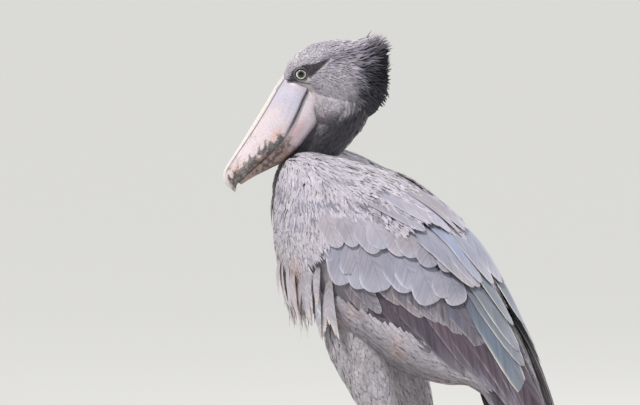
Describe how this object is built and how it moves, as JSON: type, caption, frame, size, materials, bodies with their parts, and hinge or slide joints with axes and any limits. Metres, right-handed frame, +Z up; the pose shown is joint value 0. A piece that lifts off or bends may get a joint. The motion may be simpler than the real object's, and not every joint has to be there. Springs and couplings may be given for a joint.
{
  "type": "shoebill, still model",
  "caption": "Life-size shoebill standing with folded wings and its heavy hooked bill resting low on a drawn-in neck.",
  "frame": {"origin": "on the ground, under the middle of the whole bird", "axes": "+Z up; the bird faces -Y and its left side is +X"},
  "size_m": [0.2998, 0.6194, 1.0494],
  "materials": {
    "body_feathers": "matt",
    "head_feathers": "matt",
    "neck_feathers": "matt",
    "bill": "satin",
    "eyes": "gloss",
    "leg_scales": "satin",
    "claws": "satin"
  },
  "bodies": {
    "root": {"torso": "body_feathers", "wing_left": "body_feathers", "wing_right": "body_feathers", "tail": "body_feathers", "thigh_left": "body_feathers", "thigh_right": "body_feathers", "head": "head_feathers", "neck": "neck_feathers", "bill_upper": "bill", "bill_lower": "bill", "eye_left": "eyes", "eye_right": "eyes", "shank_left": "leg_scales", "shank_right": "leg_scales", "foot_left": "leg_scales", "foot_right": "leg_scales", "claw_inner_left": "claws", "claw_middle_left": "claws", "claw_outer_left": "claws", "claw_hind_left": "claws", "claw_inner_right": "claws", "claw_middle_right": "claws", "claw_outer_right": "claws", "claw_hind_right": "claws"}
  },
  "joints": []
}
